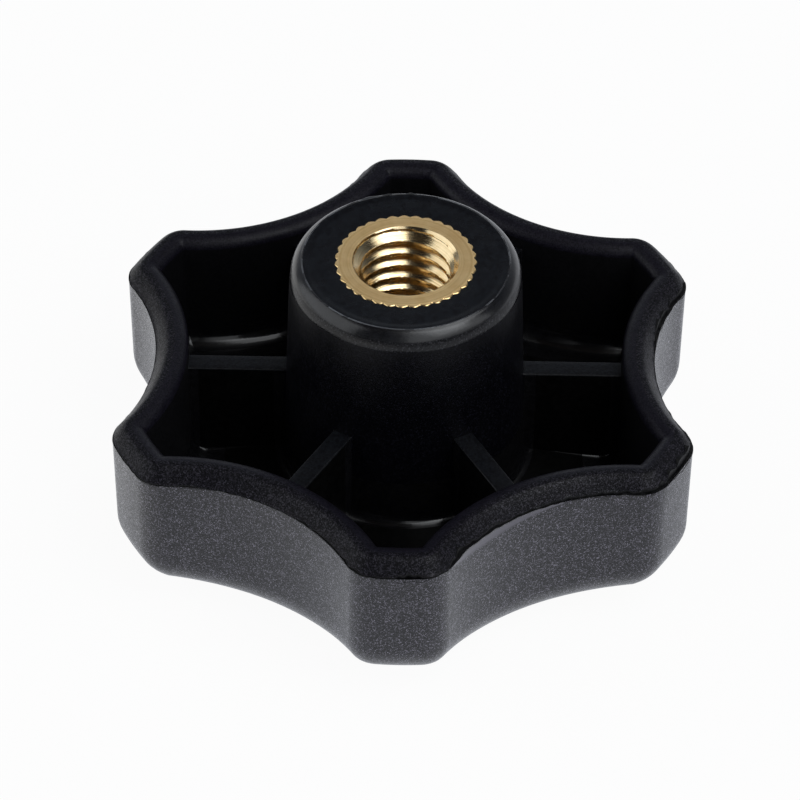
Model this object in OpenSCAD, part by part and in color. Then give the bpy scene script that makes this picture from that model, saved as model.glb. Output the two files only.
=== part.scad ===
// Scallop clamping knob: one hollow moulding with a post in the middle, and a
// knurled brass insert with a female thread moulded into the post.
// Millimetres. The knob lies on its grip face, +Z runs up the thread's axis and
// out of its mouth, and the origin is the centre of the grip face.

/* [Rim] */
// Diameter over the lobes' tips
knob_d = 60; // [56:1:70]
// Distance from the axis to the bottom of each scallop
scallop_reach = 24; // [23:0.5:25]
// Number of lobes
lobes = 6; // [6]
// Half of the angle that each lobe's round tip takes up
tip_half_angle = 4.25; // [3:0.25:6]
// Radius of the upright edges between tip and scallop
corner_r = 3.2; // [2.4:0.2:4]
// Height of the rim above the grip face
rim_h = 18; // [16:0.5:20]
// Thickness of the rim's wall
wall_t = 3.2; // [2.6:0.2:3.8]
// Thickness of the closed floor behind the grip face
floor_t = 5.4; // [4.4:0.2:6.4]

/* [Rounded edges] */
// Height up the side at which a lobe's tip starts to round into the grip face
tip_edge_h = 7; // [5:0.5:8]
// How far that rounding runs in along the grip face
tip_edge_w = 9; // [7:0.5:10]
// The same height in a scallop
scallop_edge_h = 5.2; // [4:0.2:6]
// The same run in a scallop
scallop_edge_w = 5; // [4:0.2:6]
// Height and width of the rounding along the rim's outer upper edge
rim_edge = 1.5; // [0.8:0.1:1.8]

/* [Post and ribs] */
// Height of the post's face above the grip face
post_h = 29; // [26:0.5:32]
// Diameter of the post just under its shoulder
post_d = 21.9; // [21:0.1:24]
// Draft of the post's side, in degrees
post_draft = 2; // [1:0.25:3]
// Width of the rounded shoulder around the post's face
shoulder_w = 0.95; // [0.6:0.05:1.2]
// Height of that shoulder
shoulder_h = 1.25; // [0.8:0.05:1.6]
// Size of the fillet where the post meets the floor
post_fillet = 1.6; // [1:0.2:2.2]
// Thickness of the ribs between post and rim
rib_t = 2; // [1.6:0.2:2.6]
// How far the ribs' tops lie below the rim's top
rib_drop = 2.2; // [1.5:0.1:4]

/* [Insert] */
// Diameter over the knurl's crests
insert_d = 13.5; // [13:0.1:14.5]
// Length of the insert
insert_l = 16; // [14:0.5:18]
// Number of knurl teeth
knurl_teeth = 35; // [30:1:40]
// Depth of the knurl
knurl_depth = 0.35; // [0.2:0.05:0.5]
// Width of the plain groove that locks the insert in the plastic
groove_w = 2; // [1:0.5:3]
// Depth of that groove below the knurl's crests
groove_depth = 0.8; // [0.6:0.1:1]
// Core diameter of the thread, which is M10
thread_core_d = 8.5; // [8.4:0.05:8.7]
// Diameter of the countersink at the thread's mouth
countersink_d = 10.2; // [10:0.1:11]
// Depth of the well under the insert, for the end of a screw
well_depth = 1.5; // [1:0.5:3]
// Diameter of that well
well_d = 9.4; // [9:0.1:10]

/* [Hidden] */
$fn = 128;
// Angle that each edge arc turns through, kept short of 90 so that it crosses both faces cleanly
edge_turn = 64;
// Overlap of shapes that are joined or cut through
lap = 1;
// Smallest radius of an upright edge inside the rim
inner_corner_min = 0.5;

tip_r = knob_d / 2;
lobe_step = 360 / lobes;
scallop_dir = lobe_step / 2;

// The outline runs along a lobe's tip (an arc about the axis), a corner arc and
// a scallop arc, each tangent to the next.
function polar(r, a) = [r * cos(a), r * sin(a)];
corner_reach = tip_r - corner_r;
corner_at_scallop = corner_reach * cos(scallop_dir - tip_half_angle);
scallop_r = (pow(corner_reach, 2) - 2 * corner_at_scallop * scallop_reach + pow(scallop_reach, 2) - pow(corner_r, 2))
          / (2 * (corner_at_scallop - scallop_reach + corner_r));
scallop_centre = scallop_reach + scallop_r;

// Angle between a scallop's middle and the centre of a corner arc that touches both other arcs
function corner_angle(tip, corner, scallop) =
    acos((pow(tip - corner, 2) + pow(scallop_centre, 2) - pow(scallop + corner, 2))
         / (2 * (tip - corner) * scallop_centre));

// Centre and radius of the arc through [0, h] and [w, 0] that turns through edge_turn
function half_chord(w, h) = norm([w, h]) / 2;
function edge_r(w, h) = half_chord(w, h) / sin(edge_turn / 2);
function edge_shift(w, h) = edge_r(w, h) * cos(edge_turn / 2) / (2 * half_chord(w, h));
function edge_centre(w, h) = [w / 2 + edge_shift(w, h) * h, h / 2 + edge_shift(w, h) * w];

post_top_r = post_d / 2 - shoulder_w;
post_base_r = post_d / 2 + (post_h - shoulder_h - floor_t) * tan(post_draft);
rib_top = rim_h - rib_drop;
insert_r = insert_d / 2;
insert_z = post_h - insert_l;
knurl_l = (insert_l - groove_w) / 2;

// Outline of the rim, or of its pocket, for given radii of tip, corner and scallop: a disc
// with a bite for each scallop, which leaves the corner arcs standing
module scalloped(tip, corner, scallop) {
    a = corner_angle(tip, corner, scallop);
    right = polar(tip - corner, -a);
    left = polar(tip - corner, a);
    centre = [scallop_centre, 0];
    difference() {
        circle(tip);
        for (i = [0 : lobes - 1])
            rotate(i * lobe_step) difference() {
                union() {
                    polygon([right, 2 * right, 2 * centre, 2 * left, left, centre]);
                    translate(centre) circle(scallop);
                }
                translate(right) circle(corner);
                translate(left) circle(corner);
            }
    }
}

// Area outside an edge arc that runs from [0, h] to [w, 0], with room to cut through both
// faces. It is the waste on an outer edge, and the fillet in an inner one.
module edge_waste(w, h) {
    difference() {
        translate([-lap, -lap]) square(edge_centre(w, h) + [lap, lap]);
        translate(edge_centre(w, h)) circle(edge_r(w, h));
    }
}

// Rounds the grip face's edge and the rim's top edge, by rings about the axis and about each scallop
module edge_rings() {
    rotate_extrude() translate([tip_r, 0]) mirror([1, 0]) edge_waste(tip_edge_w, tip_edge_h);
    rotate_extrude() translate([tip_r, rim_h]) mirror([1, 0]) mirror([0, 1]) edge_waste(rim_edge, rim_edge);
    for (i = [0 : lobes - 1])
        rotate(i * lobe_step) translate([scallop_centre, 0]) {
            rotate_extrude() translate([scallop_r, 0]) edge_waste(scallop_edge_w, scallop_edge_h);
            rotate_extrude() translate([scallop_r, rim_h]) mirror([0, 1]) edge_waste(rim_edge, rim_edge);
        }
}

module rim() {
    difference() {
        linear_extrude(rim_h) scalloped(tip_r, corner_r, scallop_r);
        translate([0, 0, floor_t]) linear_extrude(rim_h)
            scalloped(tip_r - wall_t, max(corner_r - wall_t, inner_corner_min), scallop_r + wall_t);
        edge_rings();
    }
}

module post() {
    rotate_extrude() {
        difference() {
            polygon([[0, floor_t - lap], [post_base_r, floor_t - lap], [post_base_r, floor_t],
                     [post_d / 2, post_h - shoulder_h], [post_d / 2, post_h], [0, post_h]]);
            translate([post_d / 2, post_h]) mirror([1, 0]) mirror([0, 1]) edge_waste(shoulder_w, shoulder_h);
        }
        translate([post_base_r, floor_t]) edge_waste(post_fillet, post_fillet);
    }
}

module ribs() {
    rib_end = scallop_reach - wall_t / 2;
    for (i = [0 : lobes - 1])
        rotate(i * lobe_step) translate([post_top_r / 2, -rib_t / 2, floor_t - lap])
            cube([rib_end - post_top_r / 2, rib_t, rib_top - floor_t + lap]);
}

// The insert's outside: two knurled lengths with a plain groove between them
module insert_outside() {
    module knurl() {
        step = 360 / knurl_teeth;
        linear_extrude(knurl_l)
            polygon([for (i = [0 : knurl_teeth - 1], half = [0, 1])
                polar(insert_r - half * knurl_depth, (i + half / 2) * step)]);
    }
    translate([0, 0, insert_z]) {
        knurl();
        translate([0, 0, knurl_l + groove_w]) knurl();
        cylinder(h = insert_l, r = insert_r - groove_depth);
    }
}

module knob_body() {
    color([0.07, 0.07, 0.08]) difference() {
        union() {
            rim();
            post();
            ribs();
        }
        insert_outside();
        translate([0, 0, insert_z - well_depth]) cylinder(h = well_depth + lap, d = well_d);
    }
}

module threaded_insert() {
    countersink_h = (countersink_d - thread_core_d) / 2;
    color([0.80, 0.66, 0.36]) difference() {
        insert_outside();
        translate([0, 0, insert_z - lap]) cylinder(h = insert_l + 2 * lap, d = thread_core_d);
        translate([0, 0, post_h - countersink_h])
            cylinder(h = countersink_h + lap, d1 = thread_core_d, d2 = countersink_d + 2 * lap);
    }
}

knob_body();
threaded_insert();
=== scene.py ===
"""Looks of a scallop clamping knob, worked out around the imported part.

Two surfaces stand for the two solids of the frame: the hollow black moulding with its post
and ribs, and the knurled brass insert with its thread. Sizes here are millimetres, as in the
part's own drawing, and put_mesh() turns them into metres. +Z runs up the thread's axis, and
one lobe points at the viewer, along -Y.
"""
import math

import bpy
import numpy as np
from mathutils import Matrix, Vector


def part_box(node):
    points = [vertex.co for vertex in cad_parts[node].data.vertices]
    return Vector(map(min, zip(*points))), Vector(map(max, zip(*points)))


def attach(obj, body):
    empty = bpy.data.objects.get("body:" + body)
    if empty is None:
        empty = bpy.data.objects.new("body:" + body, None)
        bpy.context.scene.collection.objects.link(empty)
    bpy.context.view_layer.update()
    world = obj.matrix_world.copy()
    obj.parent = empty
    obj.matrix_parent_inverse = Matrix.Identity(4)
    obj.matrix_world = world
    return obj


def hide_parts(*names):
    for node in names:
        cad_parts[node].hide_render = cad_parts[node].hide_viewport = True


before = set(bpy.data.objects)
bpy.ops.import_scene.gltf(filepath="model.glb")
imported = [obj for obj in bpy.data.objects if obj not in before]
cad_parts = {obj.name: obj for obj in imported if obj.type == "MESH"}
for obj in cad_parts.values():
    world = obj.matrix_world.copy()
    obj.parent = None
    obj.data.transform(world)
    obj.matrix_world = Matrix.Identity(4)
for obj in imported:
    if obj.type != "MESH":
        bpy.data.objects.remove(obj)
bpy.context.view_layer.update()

MM = 0.001
BODY_HIGH = np.array(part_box("knob_body")[1]) / MM
INSERT_LOW, INSERT_HIGH = (np.array(corner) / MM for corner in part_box("threaded_insert"))

# Rim: outline, wall and height
TIP_R = BODY_HIGH[1]
LOBES = 6
LOBE_STEP = 2 * np.pi / LOBES
LOBE_DIR = LOBE_STEP / 2
SCALLOP_REACH = 24.0
TIP_HALF_ANGLE = np.radians(4.25)
CORNER_R = 3.2
INNER_CORNER_R = 0.35
WALL = 3.16
RIM_H = 18.0
PARTING_H = 16.43
CROWN_W = 1.455
CROWN_KNEE = 1.0
INNER_EDGE_W = 1.3
INNER_EDGE_H = 1.0
SIDE_DRAFT = np.tan(np.radians(0.67))
SIDE_RINGS_TO = 0.2
WALL_DRAFT = np.tan(np.radians(0.8))

# Grip face: a large rounded edge on a slightly domed face
EDGE_R = 4.62
EDGE_TURN = np.radians(60)
DOME_FROM_R = 13.33
DOME_RISE = 0.00861
GRIP_RINGS = (0.25, 0.5, 0.6, 0.68, 0.76, 0.84, 0.92)

# Parting line: pairs of a direction in degrees and the gap under the crown, the height of the
# strip trimmed smooth, or the depth of the chips there
GAP_AT = (
    (-180, 0.06), (-152, 0.08), (-136, 0.09), (-134, 0.01), (-114, 0.02), (-112, 0.14), (-99, 0.17),
    (-91, 0.10), (-89, 0.32), (-86, 0.32), (-84, 0.05), (-81, 0.08), (-78, 0.60), (-74, 0.26),
    (-60, 0.13), (-50, 0.20), (-42, 0.24), (-36, 0.55), (-28, 0.75), (-23, 0.70),
    (-17, 0.35), (-12, 0.12), (3, 0.10), (8, 0.50), (14, 0.60), (22, 0.45), (30, 0.10), (180, 0.08),
)
TRIM_AT = (
    (-180, 0.1), (-81, 0.1), (-78, 1.0), (-72, 1.4), (-66, 1.2),
    (-60, 0.8), (-53, 0.35), (-50, 0.1), (180, 0.1),
)
TRIM_RINGS = (1.0, 0.65, 0.3)
TRIM_LEAST = 0.12
TRIM_FADE = 0.35
CHIP_AT = ((-180, 0.0), (-92, 0.0), (-91, 0.3), (-87, 0.38), (-85, 0.1), (-84, 0.0), (180, 0.0))
GAP_LEAST = 0.004
GAP_ROUGH = 0.5
GAP_KNOTS = 420
GAP_LAP = 0.02
FLASH_LEAST = 0.02
FLASH_SHARE = 0.1
FLASH_MOST = 0.04
FLASH_H = 0.04
FLASH_UNEVEN = 0.1
FLASH_KNOTS = 330
TORN_SHARE = 0.3
TORN_KNOTS = 260
SLIT_LEAST = 0.02
SLIT_SHARE = 0.3
SLIT_MOST = 0.3
SLIT_STEP = 0.01
SLIT_LAP = 0.015

# Cavity and ribs
FLOOR_H = 5.3
FLOOR_RISE = 0.8
FLOOR_FILLET = 1.7
RIB_H = 15.8
RIB_HALF = 1.0
RIB_EDGE_R = 0.15
RIB_LAP = 0.05
RIB_DRAFT = np.tan(np.radians(0.5))
RIB_FILLET = 0.45
RIB_PARALLEL = 2.4
RIB_SHARE = 0.8
RIB_ZONE_FROM = RIB_FILLET / 4
RIB_TOP_SLACK = 0.01
HOLLOW_MID_H = 11.0

# Post
POST_H = BODY_HIGH[2]
POST_R = 11.0
POST_DRAFT = np.tan(np.radians(2))
POST_FILLET = 0.9
POST_RINGS_H = (20.0, 25.0)
SHOULDER_H = 1.25
SHOULDER_FOOT = 0.22
BEAD_DROP = 2.6
SHOULDER_BULGE = 0.08
FACE_R = 9.74
FACE_DROP = 0.02
FACE_SINK = 0.05
FACE_STEP = 0.12
FACE_STEP_W = 0.02
FACE_STEP_H = 0.012
FACE_RINGS_FROM = 0.25
BURR_W = 0.16
BURR_H = 0.06
BURR_ACROSS = (1.0, 0.75, 0.4, 0.1)
BURR_TOPS = (0.0, 0.9, 1.0, 0.0)
BURR_EVEN = 0.8
BURR_KNOTS = 160
BURR_AT = (
    (-180, 1.0), (-150, 0.5), (-80, 0.5), (-50, 1.0), (60, 1.0), (84, 1.0), (88, 3.6), (92, 1.2), (98, 1.0),
    (102, 3.2), (106, 1.4), (110, 2.4), (114, 4.2), (118, 1.6), (122, 3.0), (128, 1.0), (180, 1.0),
)
WELL_R = 4.7
WELL_DEPTH = 1.5

# Insert
INSERT_R = INSERT_HIGH[0]
INSERT_H = INSERT_HIGH[2]
INSERT_Z = INSERT_LOW[2]
KNURL_TEETH = 35
KNURL_DEPTH = 0.26
KNURL_CURVE = 1.5
KNURL_CHAMFER = 0.09
KNURL_COLUMNS = 10
GROOVE_W = 2.0
GROOVE_DEPTH = 0.8
SEAT_LAP = 0.1
SEAT_R = INSERT_R - KNURL_DEPTH - SEAT_LAP
SEAT_STEP = 0.5
WELL_H = INSERT_Z - WELL_DEPTH
THREAD_CORE_R = 4.22
THREAD_ROOT_R = 5.03
THREAD_PITCH = 1.5
THREAD_PHASES = (0, 0.17, 0.38, 0.77)
THREAD_DEPTHS = (0, 1, 1, 0)
THREAD_FROM = 0.03
THREAD_SEEN = 8.6
THREAD_ROWS_SEEN = 20
THREAD_ROWS_HIDDEN = 8
THREAD_START_H = 29.0
THREAD_START_DIR = np.radians(95)
COUNTERSINK_R = 5.05
COUNTERSINK_H = 0.83
BRASS_FACE_OUT = 0.12
BRASS_FACE_IN = 0.08

# Roughness of every coat on the plastic
COAT_ROUGH = 0.35

# Camera: angles in degrees, distance in metres, and a lens for a sensor in millimetres
CAMERA_ELEVATION = 42.212
CAMERA_SWING = 0.7909
CAMERA_ROLL = 0.5217
CAMERA_DISTANCE = 0.4203
CAMERA_AIM = (-0.435, 0, 11.26)
CAMERA_LENS = 195.03
CAMERA_SENSOR = 36

# Table and room: colours, and the places or directions between which they change
TABLE_REACH = 3.0
TABLE_SHADE = (0.9, 0.9, 0.9, 1)
TABLE_WHITE = (1, 1, 1, 1)
TABLE_GREY = (0.70, 0.72, 0.77, 1)
TABLE_EVEN = 0.95
TABLE_LIT_FROM = -0.02
TABLE_LIT_FULL = -0.06
LAMP_COLOUR = (0.94, 0.97, 1.0)
ROOM_TONES = (
    (0.0, (0.80, 0.84, 0.90)),
    (0.42, (0.48, 0.52, 0.58)),
    (0.56, (0.22, 0.25, 0.29)),
    (0.67, (0.085, 0.09, 0.115)),
    (0.85, (0.075, 0.06, 0.05)),
)
ROOM_FRONT = -0.4
ROOM_BACK = 0.45
ROOM_FRONT_SHARE = 0.14
ROOM_FLANK_FROM = 0.3
ROOM_FLANK_FULL = 0.8
ROOM_FLANK_SHARE = 0.28

# Columns on each half lobe, along the scallop, the corner and the tip
SCALLOP_COLUMNS = 36
CORNER_COLUMNS = 22
TIP_COLUMNS = 12

# Points on each curve of the moulding's section
EDGE_POINTS = 9
SIDE_POINTS = 6
CROWN_POINTS = 10
LIP_POINTS = 8
FILLET_POINTS = 7
FLOOR_POINTS = 5
BEAD_POINTS = 5
SHOULDER_POINTS = 10
FACE_POINTS = 5
RIB_POINTS = 5


def corner_place(inset):
    """Reach and direction of a corner arc's centre, seen from a scallop's middle line.

    The corner arc touches the tip arc inside and the scallop arc outside, so its centre lies
    at tip radius less corner radius from the axis, and the angle follows from the cosine rule.
    """
    corner = np.maximum(CORNER_R - inset, INNER_CORNER_R)
    reach = TIP_R - inset - corner
    span = SCALLOP_R + inset + corner
    turn = np.arccos((reach**2 + SCALLOP_CENTRE**2 - span**2) / (2 * reach * SCALLOP_CENTRE))
    end = np.arctan2(reach * np.sin(turn), SCALLOP_CENTRE - reach * np.cos(turn))
    return corner, reach, turn, end


def scallop_radius():
    """Radius of the scallop arc that touches both corner arcs and comes to SCALLOP_REACH from the axis."""
    reach = TIP_R - CORNER_R
    along = reach * np.cos(LOBE_DIR - TIP_HALF_ANGLE)
    rise = reach**2 - 2 * along * SCALLOP_REACH + SCALLOP_REACH**2 - CORNER_R**2
    return rise / (2 * (along - SCALLOP_REACH + CORNER_R))


SCALLOP_R = scallop_radius()
SCALLOP_CENTRE = SCALLOP_REACH + SCALLOP_R


def rib_offsets():
    """Distances from a rib's middle line at which its section bends.

    They lie on the flat top, along the rounded edge and along the fillet at its foot.
    """
    quarter = np.linspace(0, np.pi / 2, RIB_POINTS)
    top_edge = RIB_HALF - RIB_EDGE_R * (1 - np.sin(quarter))
    foot = RIB_HALF + (RIB_H - RIB_EDGE_R - FLOOR_H - RIB_FILLET) * RIB_DRAFT
    fillet = foot + RIB_FILLET * (1 - np.cos(quarter))
    return np.concatenate([[0, RIB_HALF / 3], top_edge, fillet])


def rib_heights(offset):
    """Height of a rib's section: a flat top, a quarter round, a flank that leans, and a fillet."""
    inner = RIB_HALF - RIB_EDGE_R
    foot = RIB_HALF + (RIB_H - RIB_EDGE_R - FLOOR_H - RIB_FILLET) * RIB_DRAFT
    edge = RIB_H - RIB_EDGE_R + np.sqrt(np.maximum(RIB_EDGE_R**2 - (offset - inner) ** 2, 0))
    flank = RIB_H - RIB_EDGE_R - (offset - RIB_HALF) / RIB_DRAFT
    beyond = offset - foot - RIB_FILLET
    fillet = FLOOR_H + RIB_FILLET - np.sqrt(np.maximum(RIB_FILLET**2 - beyond**2, 0))
    bands = [offset <= inner, offset <= RIB_HALF, offset <= foot, offset <= foot + RIB_FILLET]
    return np.select(bands, [np.full_like(offset, RIB_H), edge, flank, fillet], FLOOR_H)


def half_lobe():
    """Arc number and share along that arc for the columns from a scallop's middle to a lobe's middle."""
    end = corner_place(WALL)[3]
    on_rib = np.arcsin(rib_offsets() / (SCALLOP_R + WALL)) / end
    beside = np.linspace(on_rib[-1], 1, SCALLOP_COLUMNS + 1)[1:-1]
    shares = [
        np.concatenate([on_rib, beside]),
        np.linspace(0, 1, CORNER_COLUMNS, endpoint=False),
        np.linspace(0, 1, TIP_COLUMNS + 1),
    ]
    arc = np.concatenate([np.full(len(share), k) for k, share in enumerate(shares)])
    return arc, np.concatenate(shares)


def all_round():
    """Arc, share, side and turn of every column: each lobe has a half lobe and its mirror image."""
    arc, share = half_lobe()
    order = np.concatenate([np.arange(len(arc) - 1), np.arange(len(arc) - 1, 0, -1)])
    side = np.concatenate([np.ones(len(arc) - 1), -np.ones(len(arc) - 1)])
    sector = np.repeat(np.arange(LOBES), len(order))
    turn = (sector + np.tile(side < 0, LOBES)) * LOBE_STEP
    return np.tile(arc[order], LOBES), np.tile(share[order], LOBES), np.tile(side, LOBES), turn


ARC, SHARE, SIDE, TURN = all_round()


def outline(inset):
    """The scalloped outline moved inwards by inset, one point per column.

    Each point lies on a scallop arc, a corner arc or a tip arc, at its share of that arc's
    angle, mirrored to its side and turned to its scallop. The inset may differ by ring and by
    column.
    """
    corner, reach, turn, end = corner_place(inset)
    on_scallop = SHARE * end
    on_corner = SHARE * (turn + end) - end
    on_tip = turn + SHARE * (LOBE_DIR - turn)
    scallop = SCALLOP_R + inset
    tip = TIP_R - inset
    across = [
        SCALLOP_CENTRE - scallop * np.cos(on_scallop),
        reach * np.cos(turn) + corner * np.cos(on_corner),
        tip * np.cos(on_tip),
    ]
    aside = [
        scallop * np.sin(on_scallop),
        reach * np.sin(turn) + corner * np.sin(on_corner),
        tip * np.sin(on_tip),
    ]
    x = np.choose(ARC, across)
    y = np.choose(ARC, aside) * SIDE
    return np.stack([x * np.cos(TURN) - y * np.sin(TURN), x * np.sin(TURN) + y * np.cos(TURN)], -1)


def lift(flat, height):
    """Points of the plane set at a height, which may vary by ring and by column."""
    height = np.broadcast_to(height, flat.shape[:-1])
    return np.concatenate([flat, height[..., None]], -1)


def rib_distance():
    """How far each column's point on the inner wall lies from the middle line of its scallop's rib."""
    flat = outline(WALL)
    return np.abs(flat[..., 1] * np.cos(TURN) - flat[..., 0] * np.sin(TURN))


RIB_OFFSET = rib_distance()
RIB_TOP = rib_heights(RIB_OFFSET)


def ring(radius):
    """Circles about the axis, one point per column.

    Beside a rib a column keeps its distance from the rib's middle line, so the rib stays
    parallel. The columns between share out the rest of the arc up to the lobe's middle. On
    circles too small for that, all of them close up by the same share.
    """
    radius = np.asarray(radius, float)[..., None]
    middle = radius * np.sin(LOBE_DIR)
    near = np.minimum(RIB_PARALLEL, RIB_SHARE * middle)
    beside = RIB_OFFSET * near / RIB_PARALLEL
    spread = near + (RIB_OFFSET - RIB_PARALLEL) * (middle - near) / (RIB_OFFSET.max() - RIB_PARALLEL)
    direction = TURN + SIDE * np.arcsin(np.where(RIB_OFFSET < RIB_PARALLEL, beside, spread) / radius)
    return np.stack([radius * np.cos(direction), radius * np.sin(direction)], -1)


def direction_of(flat):
    """Direction of each point, seen from the axis."""
    return np.arctan2(flat[..., 1], flat[..., 0])


RIM_DIR = direction_of(outline(0.0))
POST_DIR = direction_of(ring(POST_R))


def ragged(direction, knots, seed):
    """Uneven values from -1 to 1 round the axis.

    Seeded draws at evenly spread directions are joined by straight lines.
    """
    draws = np.random.default_rng(seed).uniform(-1, 1, knots)
    around = np.linspace(0, 2 * np.pi, knots + 1)
    return np.interp(direction % (2 * np.pi), around, np.append(draws, draws[0]))


DOME = DOME_RISE * np.maximum(np.hypot(*outline(0.0).T) - DOME_FROM_R, 0) ** 2
SIDE_LOW = EDGE_R + DOME
SIDE_LEAN = SIDE_DRAFT * (PARTING_H - SIDE_LOW.mean())


def grip_face():
    """The domed face: rings shrunk towards the axis.

    They rise from the flat middle as a parabola that meets the rounded edge.
    """
    flat = outline(SIDE_LEAN + EDGE_R * (1 - np.cos(EDGE_TURN)))
    radius = np.hypot(flat[:, 0], flat[:, 1])
    rise = EDGE_R * (1 - np.sin(EDGE_TURN)) + DOME
    run = 2 * rise * np.tan(EDGE_TURN)
    share = np.array(GRIP_RINGS)[:, None]
    beyond = np.maximum(share * radius - radius + run, 0) / run
    return lift(share[..., None] * flat, rise * beyond**2)


def rounded_edge():
    """The large round between grip face and side: an arc swung up from EDGE_TURN to upright."""
    turn = np.linspace(EDGE_TURN, 0, EDGE_POINTS)[:-1, None]
    return lift(outline(SIDE_LEAN + EDGE_R * (1 - np.cos(turn))), EDGE_R * (1 - np.sin(turn)) + DOME)


def by_direction(direction, pairs):
    """Values for each column, joined by straight lines between the directions given."""
    given, value = np.array(pairs, float).T
    return np.interp(np.degrees(direction), given, value)


TRIM = by_direction(RIM_DIR, TRIM_AT)
GAP_SWAY = 1 + GAP_ROUGH * ragged(RIM_DIR, GAP_KNOTS, seed=3)
GAP = np.maximum(by_direction(RIM_DIR, GAP_AT) * GAP_SWAY, GAP_LEAST)


def grained_side():
    """The upright side: straight lines that lean by the draft, from the rounded edge to the parting line.

    The last rings follow the strip that was trimmed smooth, at shares of its height.
    """
    share = np.linspace(1, SIDE_RINGS_TO, SIDE_POINTS)[:, None]
    below = np.array(TRIM_RINGS)[:, None]
    heights = np.concatenate([PARTING_H + share * (SIDE_LOW - PARTING_H), PARTING_H - below * TRIM])
    lean = SIDE_LEAN * (PARTING_H - heights) / (PARTING_H - SIDE_LOW)
    return lift(outline(lean), heights)


def parting_line():
    """Where the mould's halves met: a ragged flash on the side's upper edge, then a slit.

    The slit is as high as the gap there, and deeper where the gap is wider. Its faces take a near-black
    finish: painted shade in the slit.
    """
    uneven = FLASH_UNEVEN * ragged(RIM_DIR, FLASH_KNOTS, seed=5)
    torn = TORN_SHARE * GAP * ragged(RIM_DIR, TORN_KNOTS, seed=17)
    slit = np.minimum(SLIT_LEAST + SLIT_SHARE * GAP + GAP**2, SLIT_MOST)
    flash = -np.minimum(FLASH_LEAST + FLASH_SHARE * GAP, FLASH_MOST)
    low = -FLASH_H + uneven + torn - by_direction(RIM_DIR, CHIP_AT)
    high = np.maximum(GAP, low) + SLIT_LAP
    heights = PARTING_H + np.stack([low - FLASH_H, low, low + SLIT_STEP, high])
    return lift(outline(np.stack([0.5 * flash, flash, slit, slit])), heights)


def crown():
    """The rim's rounded top: a parabola from the gap's upper edge that leaves upwards and arrives level.

    The parabola's tangents meet at CROWN_KNEE from the side, at the height of the rim's top.
    """
    begin = 1 - np.sqrt(1 - (GAP + GAP_LAP) / (RIM_H - PARTING_H))
    along = begin + (1 - begin) * np.linspace(0, 1, CROWN_POINTS)[:, None]
    inset = 2 * along * (1 - along) * CROWN_KNEE + along**2 * CROWN_W
    return lift(outline(inset), PARTING_H + (RIM_H - PARTING_H) * (1 - (1 - along) ** 2))


def inner_edge():
    """The rim's flat top and the round on its inner edge: a quarter ellipse down to the wall."""
    turn = np.linspace(0, np.pi / 2, LIP_POINTS)[:-1, None]
    inset = WALL - INNER_EDGE_W * (1 - np.sin(turn))
    return lift(outline(inset), RIM_H - INNER_EDGE_H * (1 - np.cos(turn)))


WALL_FOOT = WALL + (RIM_H - INNER_EDGE_H - FLOOR_H - FLOOR_FILLET) * WALL_DRAFT


def cavity_wall():
    """The cavity's wall, leaning in by its draft, with the ribs standing where they are higher."""
    heights = np.array([RIM_H - INNER_EDGE_H, RIB_H + RIB_LAP, RIB_H, HOLLOW_MID_H])
    insets = WALL + (RIM_H - INNER_EDGE_H - heights) * WALL_DRAFT
    return lift(outline(insets[:, None]), np.maximum(heights[:, None], RIB_TOP))


def wall_fillet():
    """The fillet at the wall's foot: a quarter circle down to the floor, with the ribs' tops let in."""
    turn = np.linspace(0, np.pi / 2, FILLET_POINTS)[:, None]
    heights = FLOOR_H + FLOOR_FILLET * (1 - np.sin(turn))
    return lift(outline(WALL_FOOT + FLOOR_FILLET * (1 - np.cos(turn))), np.maximum(heights, RIB_TOP))


def cavity_floor():
    """The floor: straight lines that rise from the wall's fillet to the post's, with the ribs let in."""
    wall_foot = outline(WALL_FOOT + FLOOR_FILLET)
    fillet_foot = ring(post_radius(FLOOR_H + FLOOR_RISE) + POST_FILLET)
    share = np.linspace(0, 1, FLOOR_POINTS)[1:-1, None]
    flat = wall_foot + share[..., None] * (fillet_foot - wall_foot)
    return lift(flat, np.maximum(FLOOR_H + share * FLOOR_RISE, RIB_TOP))


def post_radius(height):
    """Radius of the post's side, which leans in by its draft."""
    return POST_R + (POST_H - SHOULDER_H - height) * POST_DRAFT


def post_foot():
    """The fillet from the floor up to the post's side: a quarter circle, with the ribs' tops let in."""
    turn = np.linspace(np.pi / 2, 0, FILLET_POINTS)
    heights = FLOOR_H + FLOOR_RISE + POST_FILLET * (1 - np.sin(turn))
    radii = post_radius(heights) + POST_FILLET * (1 - np.cos(turn))
    return lift(ring(radii), np.maximum(heights[:, None], RIB_TOP))


def post_side():
    """The post's side: straight lines that lean in by the draft, with the ribs' tops let in."""
    heights = np.array([HOLLOW_MID_H, RIB_H, RIB_H + RIB_LAP, *POST_RINGS_H])
    return lift(ring(post_radius(heights)), np.maximum(heights[:, None], RIB_TOP))


def shoulder_foot():
    """The bead at the shoulder's foot: an arc of a parabola from the post's side to the chamfer."""
    along = np.linspace(0, 1, BEAD_POINTS)
    radii = POST_R - SHOULDER_FOOT * along**2
    heights = POST_H - SHOULDER_H - SHOULDER_FOOT * (1 - along) * BEAD_DROP + SHOULDER_FOOT * along**2
    return lift(ring(radii), heights[:, None])


def post_shoulder():
    """The shoulder: a chamfer from the bead to the edge of the face, bulged as a parabola."""
    share = np.linspace(0, 1, SHOULDER_POINTS)[1:-1]
    foot_r = POST_R - SHOULDER_FOOT
    foot_h = POST_H - SHOULDER_H + SHOULDER_FOOT
    bulge = SHOULDER_BULGE * 4 * share * (1 - share)
    radii = foot_r + (FACE_R + BURR_W - foot_r) * share + bulge
    heights = foot_h + (POST_H - foot_h) * share + bulge
    return lift(ring(radii), heights[:, None])


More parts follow.
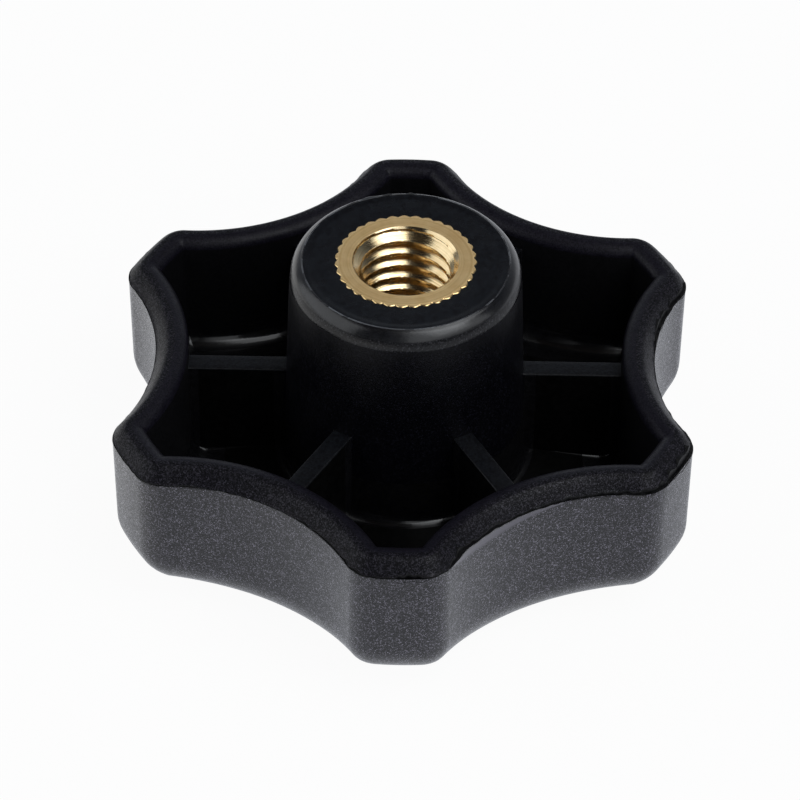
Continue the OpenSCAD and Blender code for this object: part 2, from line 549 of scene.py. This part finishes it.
def burr_ring():
    """The burr round the face: a thin lip of uneven height, steep on both sides."""
    sway = BURR_EVEN + (1 - BURR_EVEN) * ragged(POST_DIR, BURR_KNOTS, seed=13)
    uneven = sway * by_direction(POST_DIR, BURR_AT)
    radii = FACE_R + np.array(BURR_ACROSS) * BURR_W
    tops = np.array(BURR_TOPS)[:, None] * BURR_H * uneven
    return lift(ring(radii), POST_H - FACE_DROP + tops)


def post_face():
    """The face round the insert: a parabola that sinks towards the brass, with a fine step at its edge."""
    inside = np.linspace(FACE_RINGS_FROM, 1, FACE_POINTS)
    share = np.concatenate([[0, FACE_STEP, FACE_STEP + FACE_STEP_W], inside])
    radii = FACE_R + (SEAT_R - FACE_R) * share
    step = FACE_STEP_H * (share > FACE_STEP)
    return lift(ring(radii), (POST_H - FACE_DROP - step - FACE_SINK * share**2)[:, None])


def insert_seat():
    """The seat under the brass: a plain bore, a ledge at the insert's foot and a screw's well."""
    radii = np.array([SEAT_R, SEAT_R, WELL_R, WELL_R, WELL_R / 2])
    heights = np.array([INSERT_Z + SEAT_STEP, INSERT_Z, INSERT_Z, WELL_H, WELL_H])
    return lift(ring(radii), heights[:, None])


def grid_faces(rows, columns, wrap_rows=False):
    """Quads of a grid that closes round its columns, each turned to face outwards."""
    low = np.arange(rows if wrap_rows else rows - 1)[:, None]
    high = (low + 1) % rows
    here = np.arange(columns)[None]
    there = (here + 1) % columns
    below = low * columns
    above = high * columns
    corners = [below + here, below + there, above + there, above + here]
    return np.stack(corners, -1).reshape(-1, 4)


def cap_faces(row, pole, columns, flip):
    """Triangles that close a ring onto one point at its middle."""
    here = row * columns + np.arange(columns)
    there = np.roll(here, -1)
    edge = [here, there] if flip else [there, here]
    return np.stack([*edge, np.full(columns, pole)], -1)


def rib_zones(rings, zone, names):
    """Zones of the faces between rings, with the ribs told apart from what they rise from."""
    height = rings[..., 2]
    on_rib = np.isclose(height, RIB_TOP) & (RIB_TOP > FLOOR_H + RIB_ZONE_FROM)
    beside = np.roll(on_rib, -1, axis=1)
    whole = on_rib[:-1] & beside[:-1] & on_rib[1:] & beside[1:]
    high = RIB_TOP > RIB_H - RIB_EDGE_R - RIB_TOP_SLACK
    top = whole & high & np.roll(high, -1)
    return np.select([top, whole], [names.index("rib"), names.index("floor")], zone)


def put_mesh(name, points, faces, materials, zone, sharp_deg):
    """Puts a grid into a mesh object at the origin, in metres, with each face's zone as its material."""
    mesh = bpy.data.meshes.new(name)
    mesh.from_pydata((points * MM).tolist(), [], faces)
    mesh.polygons.foreach_set("material_index", zone.astype(np.int32))
    mesh.polygons.foreach_set("use_smooth", np.ones(len(faces), bool))
    mesh.set_sharp_from_angle(angle=math.radians(sharp_deg))
    for material in materials:
        mesh.materials.append(material)
    mesh.update()
    piece = bpy.data.objects.new(name, mesh)
    bpy.context.scene.collection.objects.link(piece)
    return piece


def make_moulding(finishes):
    """The black moulding as one closed sheet, from the grip face's middle to the bottom of the well."""
    zones = [
        ("grained", grip_face()),
        ("grained", rounded_edge()),
        ("grained", grained_side()),
        ("parting", parting_line()),
        ("rim", crown()),
        ("lip", inner_edge()),
        ("wall", cavity_wall()),
        ("cavity", wall_fillet()),
        ("floor", cavity_floor()),
        ("cavity", post_foot()),
        ("post", post_side()),
        ("bead", shoulder_foot()),
        ("shoulder", post_shoulder()),
        ("burr", burr_ring()),
        ("face", post_face()),
        ("cavity", insert_seat()),
    ]
    names = list(finishes)
    rings = np.concatenate([points for _, points in zones])
    rows, columns = rings.shape[:2]
    zone_of_row = np.concatenate([np.full(len(points), names.index(name)) for name, points in zones])
    poles = np.array([[0, 0, 0], [0, 0, WELL_H]])
    quads = grid_faces(rows, columns)
    bottom = cap_faces(0, rows * columns, columns, flip=False)
    top = cap_faces(rows - 1, rows * columns + 1, columns, flip=True)
    faces = quads.tolist() + bottom.tolist() + top.tolist()
    between = rib_zones(rings, np.repeat(zone_of_row[:-1, None], columns, axis=1), names)
    zone = np.concatenate([between.ravel(), np.repeat(zone_of_row[[0, -1]], columns)])
    points = np.concatenate([rings.reshape(-1, 3), poles])
    piece = put_mesh("knob_moulding", points, faces, list(finishes.values()), zone, sharp_deg=40)
    on_side = zone_of_row[:, None] == names.index("grained")
    fade = np.clip((rings[..., 2] - PARTING_H + TRIM) / (TRIM_FADE * TRIM), 0, 1)
    trimmed = on_side * fade * (TRIM > TRIM_LEAST)
    mask = piece.data.attributes.new("trimmed", "FLOAT", "POINT")
    mask.data.foreach_set("value", np.append(trimmed.ravel(), [0, 0]).astype(np.float32))
    return piece


def knurl_radius(direction):
    """Radius over the knurl: a rounded crest at every step from +X, and a sharper valley between."""
    phase = np.abs(((direction * KNURL_TEETH / (2 * np.pi) + 0.5) % 1) * 2 - 1)
    return INSERT_R - KNURL_DEPTH * phase**KNURL_CURVE


def thread_radius(direction, height):
    """Radius of the female thread, which climbs one pitch per turn.

    Going down one pitch it runs out along a steep straight flank to the root, stays, comes
    back along a flatter one to the core, and stays there.
    """
    drop = THREAD_START_H - height + THREAD_PITCH * (direction - THREAD_START_DIR) / (2 * np.pi)
    phase = (drop / THREAD_PITCH) % 1
    depth = np.interp(phase, THREAD_PHASES, THREAD_DEPTHS)
    return THREAD_CORE_R + (THREAD_ROOT_R - THREAD_CORE_R) * depth


def insert_outside(knurl):
    """Rows of height and radius up the insert's outside: knurl, plain groove, knurl and chamfer."""
    groove = np.full(len(knurl), INSERT_R - GROOVE_DEPTH)
    knurl_l = (INSERT_H - INSERT_Z - GROOVE_W) / 2
    return [
        (INSERT_Z, knurl),
        (INSERT_Z + knurl_l, knurl),
        (INSERT_Z + knurl_l, groove),
        (INSERT_H - knurl_l, groove),
        (INSERT_H - knurl_l, knurl),
        (INSERT_H - KNURL_CHAMFER, knurl),
        (INSERT_H, knurl - KNURL_CHAMFER),
    ]


def insert_face(columns):
    """Rows of height and radius across the insert's flat face, in to the countersink's edge."""
    outer = INSERT_R - KNURL_DEPTH - BRASS_FACE_OUT
    radii = np.append(np.linspace(outer, COUNTERSINK_R + BRASS_FACE_IN, FACE_POINTS), COUNTERSINK_R)
    return [(INSERT_H, np.full(columns, radius)) for radius in radii]


def insert_bore(direction):
    """Rows of height and radius down the bore: the wider of the thread and the countersink's cone.

    The rows lie closer where the thread can be seen from the mouth.
    """
    length = INSERT_H - INSERT_Z
    seen = np.arange(THREAD_FROM, THREAD_SEEN, THREAD_PITCH / THREAD_ROWS_SEEN)
    hidden = np.arange(THREAD_SEEN, length, THREAD_PITCH / THREAD_ROWS_HIDDEN)
    depths = np.concatenate([seen, hidden, [length]])
    cone = COUNTERSINK_R - (COUNTERSINK_R - THREAD_CORE_R) * depths / COUNTERSINK_H
    thread = thread_radius(direction, INSERT_H - depths[:, None])
    return list(zip(INSERT_H - depths, np.maximum(thread, cone[:, None])))


def make_insert(finishes):
    """The brass insert as one closed ring: up the knurl, over the face and down the thread."""
    columns = KNURL_TEETH * KNURL_COLUMNS
    direction = np.arange(columns) * 2 * np.pi / columns
    outside = insert_outside(knurl_radius(direction))
    face = insert_face(columns)
    bore = insert_bore(direction)
    rows = outside + face + bore
    radii = np.stack([radius for _, radius in rows])
    heights = np.array([height for height, _ in rows])[:, None]
    flat = np.stack([radii * np.cos(direction), radii * np.sin(direction)], -1)
    points = lift(flat, heights).reshape(-1, 3)
    faces = grid_faces(len(rows), columns, wrap_rows=True).tolist()
    lengths = [len(outside) - 1, len(face), len(bore) + 1]
    zone = np.repeat(np.repeat(np.arange(3), lengths), columns)
    return put_mesh("brass_insert", points, faces, list(finishes.values()), zone, sharp_deg=50)


def node(tree, kind, settings=None, **sockets):
    """Adds a shader node, sets its own settings, and sets or links its sockets by name or number."""
    made = tree.nodes.new(kind)
    for name, value in (settings or {}).items():
        setattr(made, name, value)
    for name, value in sockets.items():
        key = int(name[1:]) if name[0] == "_" else name
        socket = made.inputs[key]
        if isinstance(value, bpy.types.NodeSocket):
            tree.links.new(value, socket)
        else:
            socket.default_value = value
    return made


def plain_material(name):
    """A material with its Principled shader, and its node tree."""
    material = bpy.data.materials.new(name)
    material.use_nodes = True
    tree = material.node_tree
    return material, tree, tree.nodes["Principled BSDF"]


def grain_group():
    """Fine moulded grain on object coordinates: a bump height, a value per speck, and slow clouds."""
    group = bpy.data.node_groups.new("moulded_grain", "ShaderNodeTree")
    for name, value in (("Grain", 4000.0), ("Cloud", 300.0)):
        socket = group.interface.new_socket(name, in_out="INPUT", socket_type="NodeSocketFloat")
        socket.default_value = value
    for name in ("Height", "Speck", "Cloudy"):
        group.interface.new_socket(name, in_out="OUTPUT", socket_type="NodeSocketFloat")
    start = group.nodes.new("NodeGroupInput")
    end = group.nodes.new("NodeGroupOutput")
    place = group.nodes.new("ShaderNodeTexCoord").outputs["Object"]
    fine = start.outputs["Grain"]
    slow = start.outputs["Cloud"]
    grain = node(group, "ShaderNodeTexNoise", Vector=place, Scale=fine, Detail=1.0, Roughness=0.5)
    cloud = node(group, "ShaderNodeTexNoise", Vector=place, Scale=slow, Detail=4.0, Roughness=0.6)
    cells = node(group, "ShaderNodeTexVoronoi", Vector=place, Scale=fine)
    speck = node(group, "ShaderNodeMapRange", _0=cells.outputs["Color"], _1=0.15, _2=0.85)
    soft = node(group, "ShaderNodeMapRange", _0=cloud.outputs["Fac"], _1=0.35, _2=0.68)
    group.links.new(grain.outputs["Fac"], end.inputs["Height"])
    group.links.new(speck.outputs[0], end.inputs["Speck"])
    group.links.new(soft.outputs[0], end.inputs["Cloudy"])
    return group


def black_plastic(name, group, grain, cloud, dark, light, rough, depth, specular, coat=0.0, sparse=1.0):
    """Black moulded plastic: grain sets its relief and speckle, clouds sway its roughness.

    The higher sparse is, the fewer of the specks are light, and a coat, if any, follows them.
    Where the trimmed mask is one the grain is gone, and the colour is the mean of the two.
    """
    material, tree, shader = plain_material(name)
    effect = node(tree, "ShaderNodeGroup", {"node_tree": group}, Grain=grain, Cloud=cloud)
    trimmed = node(tree, "ShaderNodeAttribute", {"attribute_name": "trimmed"}).outputs["Fac"]
    few = node(tree, "ShaderNodeMath", {"operation": "POWER"}, _0=effect.outputs["Speck"], _1=sparse)
    speck = node(tree, "ShaderNodeMix", _0=trimmed, _2=few.outputs[0], _3=0.5).outputs[0]
    height = node(tree, "ShaderNodeMix", _0=trimmed, _2=effect.outputs["Height"], _3=0.5).outputs[0]
    colour = node(tree, "ShaderNodeMix", {"data_type": "RGBA"}, _0=speck, _6=(*dark, 1), _7=(*light, 1))
    roughness = node(tree, "ShaderNodeMapRange", _0=effect.outputs["Cloudy"], _3=rough[0], _4=rough[1])
    relief = node(tree, "ShaderNodeBump", Height=height, Distance=depth)
    tree.links.new(colour.outputs[2], shader.inputs["Base Color"])
    tree.links.new(roughness.outputs[0], shader.inputs["Roughness"])
    tree.links.new(relief.outputs[0], shader.inputs["Normal"])
    shader.inputs["Specular IOR Level"].default_value = specular
    if coat:
        gloss = node(tree, "ShaderNodeMath", {"operation": "MULTIPLY"}, _0=speck, _1=coat)
        tree.links.new(gloss.outputs[0], shader.inputs["Coat Weight"])
        shader.inputs["Coat Roughness"].default_value = COAT_ROUGH
    return material


def rim_finishes(group):
    """Finishes of the rim by zone: grained side, parting line painted almost black as painted shade in its
    slit, satin crown and its inner edge.
    """
    grained = black_plastic(
        "grained_black", group, grain=11000, cloud=260,
        dark=(0.001, 0.001, 0.002), light=(0.142, 0.130, 0.174),
        rough=(0.16, 0.24), depth=0.000025, specular=0.56, coat=1.0, sparse=5.5,
    )
    # Painted shade: the flash and slit are coloured almost black for the shadow in the slit.
    parting = black_plastic(
        "parting_painted_shade", group, grain=3000, cloud=900,
        dark=(0.001, 0.001, 0.001), light=(0.004, 0.004, 0.005),
        rough=(0.45, 0.6), depth=0.00005, specular=0.25,
    )
    rim = black_plastic(
        "satin_black", group, grain=10000, cloud=420,
        dark=(0.002, 0.002, 0.003), light=(0.025, 0.023, 0.032),
        rough=(0.34, 0.46), depth=0.00004, specular=0.1, coat=0.3, sparse=3.0,
    )
    lip = black_plastic(
        "lip_black", group, grain=9000, cloud=420,
        dark=(0.003, 0.0027, 0.005), light=(0.011, 0.010, 0.016),
        rough=(0.34, 0.46), depth=0.00003, specular=0.12, coat=0.1,
    )
    return {"grained": grained, "parting": parting, "rim": rim, "lip": lip}


def hollow_finishes(group):
    """Finishes in the hollow by zone: matt wall, glossy fillets, a duller floor painted darker than the
    wall as painted shade, and the ribs' tops.
    """
    wall = black_plastic(
        "wall_black", group, grain=5000, cloud=300,
        dark=(0.003, 0.003, 0.0035), light=(0.006, 0.0058, 0.007),
        rough=(0.4, 0.5), depth=0.00001, specular=0.15,
    )
    cavity = black_plastic(
        "gloss_black", group, grain=2600, cloud=300,
        dark=(0.003, 0.003, 0.0035), light=(0.006, 0.006, 0.007),
        rough=(0.12, 0.18), depth=0.000004, specular=0.45,
    )
    # Painted shade: the floor, and the ribs' flanks that take its finish, are coloured darker than the wall
    # for the shade deep in the hollow; the low specular is its duller finish.
    floor = black_plastic(
        "floor_painted_shade", group, grain=2600, cloud=300,
        dark=(0.001, 0.001, 0.001), light=(0.003, 0.003, 0.003),
        rough=(0.3, 0.4), depth=0.000004, specular=0.1,
    )
    rib = black_plastic(
        "rib_black", group, grain=5000, cloud=500,
        dark=(0.002, 0.002, 0.003), light=(0.005, 0.006, 0.008),
        rough=(0.36, 0.5), depth=0.00002, specular=0.18, coat=0.1,
    )
    return {"wall": wall, "cavity": cavity, "floor": floor, "rib": rib}


def post_finishes(group):
    """Finishes of the post by zone: matt side, bead, glossy shoulder, worn burr and smooth face."""
    post = black_plastic(
        "matt_black", group, grain=8000, cloud=300,
        dark=(0.001, 0.001, 0.002), light=(0.007, 0.007, 0.011),
        rough=(0.34, 0.42), depth=0.00002, specular=0.22, sparse=6.0,
    )
    bead = black_plastic(
        "bead_black", group, grain=8000, cloud=400,
        dark=(0.002, 0.002, 0.003), light=(0.024, 0.024, 0.028),
        rough=(0.18, 0.26), depth=0.00001, specular=0.33, coat=0.1, sparse=6.0,
    )
    shoulder = black_plastic(
        "shoulder_black", group, grain=2800, cloud=400,
        dark=(0.003, 0.003, 0.004), light=(0.006, 0.006, 0.008),
        rough=(0.2, 0.28), depth=0.000006, specular=0.6,
    )
    burr = black_plastic(
        "burr_grey", group, grain=700, cloud=500,
        dark=(0.012, 0.012, 0.014), light=(0.095, 0.10, 0.11),
        rough=(0.2, 0.3), depth=0.00001, specular=0.35, coat=0.2, sparse=1.4,
    )
    face = black_plastic(
        "face_black", group, grain=2200, cloud=500,
        dark=(0.002, 0.002, 0.003), light=(0.005, 0.006, 0.008),
        rough=(0.22, 0.3), depth=0.000004, specular=0.27,
    )
    return {"post": post, "bead": bead, "shoulder": shoulder, "burr": burr, "face": face}


def plastic_finishes():
    """All of the moulding's finishes, over one shared grain."""
    group = grain_group()
    return {**rim_finishes(group), **hollow_finishes(group), **post_finishes(group)}


def turned_group():
    """Turning marks: fine rings about the thread's axis, broken up by a slow noise."""
    group = bpy.data.node_groups.new("turning_marks", "ShaderNodeTree")
    socket = group.interface.new_socket("Rings", in_out="INPUT", socket_type="NodeSocketFloat")
    socket.default_value = 8000.0
    for name in ("Height", "Stain"):
        group.interface.new_socket(name, in_out="OUTPUT", socket_type="NodeSocketFloat")
    start = group.nodes.new("NodeGroupInput")
    end = group.nodes.new("NodeGroupOutput")
    place = group.nodes.new("ShaderNodeTexCoord").outputs["Object"]
    split = node(group, "ShaderNodeSeparateXYZ", _0=place)
    flat = node(group, "ShaderNodeCombineXYZ", X=split.outputs["X"], Y=split.outputs["Y"])
    radius = node(group, "ShaderNodeVectorMath", {"operation": "LENGTH"}, _0=flat.outputs[0])
    sum_of = {"operation": "ADD"}
    along = node(group, "ShaderNodeMath", sum_of, _0=radius.outputs["Value"], _1=split.outputs["Z"])
    rings = start.outputs["Rings"]
    line = {"noise_dimensions": "1D"}
    marks = node(group, "ShaderNodeTexNoise", line, W=along.outputs[0], Scale=rings, Detail=2.0)
    stain = node(group, "ShaderNodeTexNoise", Vector=place, Scale=700.0, Detail=3.0)
    group.links.new(marks.outputs["Fac"], end.inputs["Height"])
    group.links.new(stain.outputs["Fac"], end.inputs["Stain"])
    return group


def brass(name, group, rings, light, dark, rough, depth):
    """Turned brass: rings set its relief, stains sway its colour and roughness."""
    material, tree, shader = plain_material(name)
    effect = node(tree, "ShaderNodeGroup", {"node_tree": group}, Rings=rings)
    worn = node(tree, "ShaderNodeMix", _0=0.5, _2=effect.outputs["Stain"], _3=effect.outputs["Height"])
    mark = node(tree, "ShaderNodeMapRange", _0=worn.outputs[0], _1=0.35, _2=0.65).outputs[0]
    colour = node(tree, "ShaderNodeMix", {"data_type": "RGBA"}, _0=mark, _6=(*light, 1), _7=(*dark, 1))
    roughness = node(tree, "ShaderNodeMapRange", _0=effect.outputs["Stain"], _3=rough[0], _4=rough[1])
    relief = node(tree, "ShaderNodeBump", Height=effect.outputs["Height"], Distance=depth)
    tree.links.new(colour.outputs[2], shader.inputs["Base Color"])
    tree.links.new(roughness.outputs[0], shader.inputs["Roughness"])
    tree.links.new(relief.outputs[0], shader.inputs["Normal"])
    shader.inputs["Metallic"].default_value = 1.0
    return material


def brass_finishes():
    """The insert's finishes by zone: knurl, turned face, and the bright countersink and thread."""
    group = turned_group()
    knurl = brass(
        "brass_knurl", group, rings=3000, light=(0.95, 0.72, 0.38), dark=(0.80, 0.56, 0.25),
        rough=(0.16, 0.26), depth=0.000004,
    )
    face = brass(
        "brass_face", group, rings=4500, light=(0.99, 0.735, 0.38), dark=(0.80, 0.55, 0.245),
        rough=(0.5, 0.6), depth=0.00007,
    )
    thread = brass(
        "brass_thread", group, rings=6000, light=(0.90, 0.73, 0.45), dark=(0.70, 0.51, 0.26),
        rough=(0.12, 0.20), depth=0.000005,
    )
    return {"knurl": knurl, "face": face, "thread": thread}


def make_camera():
    """The camera as the photograph was taken: a long lens that looks down on the post."""
    elevation = math.radians(CAMERA_ELEVATION)
    roll = math.radians(CAMERA_ROLL)
    swing = Matrix.Rotation(math.radians(CAMERA_SWING), 3, "Z")
    aim = Vector(CAMERA_AIM) * MM
    back = swing @ Vector((0, -math.cos(elevation), math.sin(elevation)))
    level = swing @ Vector((1, 0, 0))
    upright = back.cross(level)
    right = math.cos(roll) * level + math.sin(roll) * upright
    up = math.cos(roll) * upright - math.sin(roll) * level
    data = bpy.data.cameras.new("photo_camera")
    data.lens = CAMERA_LENS
    data.sensor_width = CAMERA_SENSOR
    data.clip_start = 0.01
    data.clip_end = 20
    camera = bpy.data.objects.new("photo_camera", data)
    turn = Matrix((right, up, back)).transposed().to_4x4()
    camera.matrix_world = Matrix.Translation(swing @ aim + back * CAMERA_DISTANCE) @ turn
    bpy.context.scene.collection.objects.link(camera)
    bpy.context.scene.camera = camera


def seen_directly(tree, path):
    """One where a camera, glossy or transmission ray meets the surface, zero for scattered light."""
    either = {"operation": "MAXIMUM"}
    camera = path.outputs["Is Camera Ray"]
    glossy = path.outputs["Is Glossy Ray"]
    through = path.outputs["Is Transmission Ray"]
    two = node(tree, "ShaderNodeMath", either, _0=camera, _1=glossy)
    return node(tree, "ShaderNodeMath", either, _0=two.outputs[0], _1=through).outputs[0]


def white_table():
    """White that is seen almost evenly, with a share of real shade so that it keeps the shadow.

    In reflections it is a little greyer, except at the left, where more light falls on it.
    """
    material = bpy.data.materials.new("white_table")
    material.use_nodes = True
    tree = material.node_tree
    tree.nodes.clear()
    colours = {"data_type": "RGBA"}
    shade = node(tree, "ShaderNodeBsdfDiffuse", Color=TABLE_SHADE)
    path = tree.nodes.new("ShaderNodeLightPath")
    place = tree.nodes.new("ShaderNodeTexCoord").outputs["Object"]
    across = node(tree, "ShaderNodeSeparateXYZ", _0=place).outputs["X"]
    edges = {"_1": TABLE_LIT_FULL, "_2": TABLE_LIT_FROM, "_3": 1.0, "_4": 0.0}
    lit = node(tree, "ShaderNodeMapRange", _0=across, **edges)
    bounce = node(tree, "ShaderNodeMix", colours, _0=lit.outputs[0], _6=TABLE_GREY, _7=TABLE_WHITE)
    camera = path.outputs["Is Camera Ray"]
    tint = node(tree, "ShaderNodeMix", colours, _0=camera, _6=bounce.outputs[2], _7=TABLE_WHITE)
    glow = node(tree, "ShaderNodeEmission", Color=tint.outputs[2], Strength=1.0)
    direct = seen_directly(tree, path)
    share = node(tree, "ShaderNodeMath", {"operation": "MULTIPLY"}, _0=direct, _1=TABLE_EVEN)
    both = node(tree, "ShaderNodeMixShader", _0=share.outputs[0], _1=shade.outputs[0], _2=glow.outputs[0])
    end = tree.nodes.new("ShaderNodeOutputMaterial")
    tree.links.new(both.outputs[0], end.inputs["Surface"])
    return material


def make_floor():
    """A wide square table under the knob."""
    far = TABLE_REACH
    corners = [(-far, -far, 0), (far, -far, 0), (far, far, 0), (-far, far, 0)]
    mesh = bpy.data.meshes.new("table")
    mesh.from_pydata(corners, [], [(0, 1, 2, 3)])
    mesh.materials.append(white_table())
    table = bpy.data.objects.new("table", mesh)
    bpy.context.scene.collection.objects.link(table)


def unit(azimuth, elevation):
    """Unit vector in a direction given by its angle round the axis and above level, in degrees."""
    around = math.radians(azimuth)
    above = math.radians(elevation)
    flat = math.cos(above)
    return Vector((flat * math.cos(around), flat * math.sin(around), math.sin(above)))


def make_softbox(name, azimuth, elevation, distance, size, radiance, faces):
    """A rectangular softbox, set in a direction and at a distance from the knob's middle.

    Angles are in degrees. It shines level where faces is 0, straight down where faces is 90,
    and at the knob where faces is its elevation.
    """
    data = bpy.data.lights.new(name, "AREA")
    data.shape = "RECTANGLE"
    data.size, data.size_y = size
    data.energy = radiance * math.pi * size[0] * size[1]
    data.color = LAMP_COLOUR
    lamp = bpy.data.objects.new(name, data)
    aim = Vector((0, 0, POST_H / 2 * MM))
    lamp.location = aim + distance * unit(azimuth, elevation)
    lamp.rotation_euler = unit(azimuth, faces).to_track_quat("Z", "Y").to_euler()
    bpy.context.scene.collection.objects.link(lamp)


def make_room():
    """A room that is pale at the horizon, and darker overhead, towards the viewer and at both sides."""
    world = bpy.data.worlds.new("studio")
    world.use_nodes = True
    bpy.context.scene.world = world
    tree = world.node_tree
    tree.nodes.clear()
    direction = tree.nodes.new("ShaderNodeTexCoord").outputs["Generated"]
    split = node(tree, "ShaderNodeSeparateXYZ", _0=direction)
    ramp = tree.nodes.new("ShaderNodeValToRGB")
    tree.links.new(split.outputs["Z"], ramp.inputs[0])
    stops = ramp.color_ramp.elements
    stops.remove(stops[1])
    stops[0].color = (*ROOM_TONES[0][1], 1)
    for height, tone in ROOM_TONES[1:]:
        stops.new(height).color = (*tone, 1)
    depths = {"_1": ROOM_FRONT, "_2": ROOM_BACK, "_3": ROOM_FRONT_SHARE, "_4": 1.0}
    front = node(tree, "ShaderNodeMapRange", _0=split.outputs["Y"], **depths)
    aside = node(tree, "ShaderNodeMath", {"operation": "ABSOLUTE"}, _0=split.outputs["X"])
    flanks = {"_1": ROOM_FLANK_FROM, "_2": ROOM_FLANK_FULL, "_3": 1.0, "_4": ROOM_FLANK_SHARE}
    flank = node(tree, "ShaderNodeMapRange", _0=aside.outputs[0], **flanks)
    times = {"operation": "MULTIPLY"}
    shade = node(tree, "ShaderNodeMath", times, _0=front.outputs[0], _1=flank.outputs[0])
    room = node(tree, "ShaderNodeBackground", Color=ramp.outputs[0], Strength=shade.outputs[0])
    end = tree.nodes.new("ShaderNodeOutputWorld")
    tree.links.new(room.outputs[0], end.inputs["Surface"])


def make_light():
    """The room, an upright softbox on each side, a panel over the right and a bright core at the right."""
    make_room()
    make_softbox(
        "left_softbox", azimuth=186, elevation=40, distance=1.2,
        size=(1.3, 1.4), radiance=1.15, faces=0,
    )
    make_softbox(
        "right_softbox", azimuth=-46, elevation=56, distance=1.5,
        size=(1.5, 2.1), radiance=1.0, faces=0,
    )
    make_softbox(
        "over_panel", azimuth=-18.4, elevation=62.2, distance=1.357,
        size=(1.0, 1.0), radiance=1.8, faces=90,
    )
    make_softbox(
        "right_core", azimuth=-42, elevation=44, distance=1.15,
        size=(0.6, 0.6), radiance=1.6, faces=44,
    )


moulding = make_moulding(plastic_finishes())
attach(moulding, "root")
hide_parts("knob_body")

insert = make_insert(brass_finishes())
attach(insert, "root")
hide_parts("threaded_insert")

make_camera()
make_floor()
make_light()
bpy.context.scene.view_settings.view_transform = "Standard"
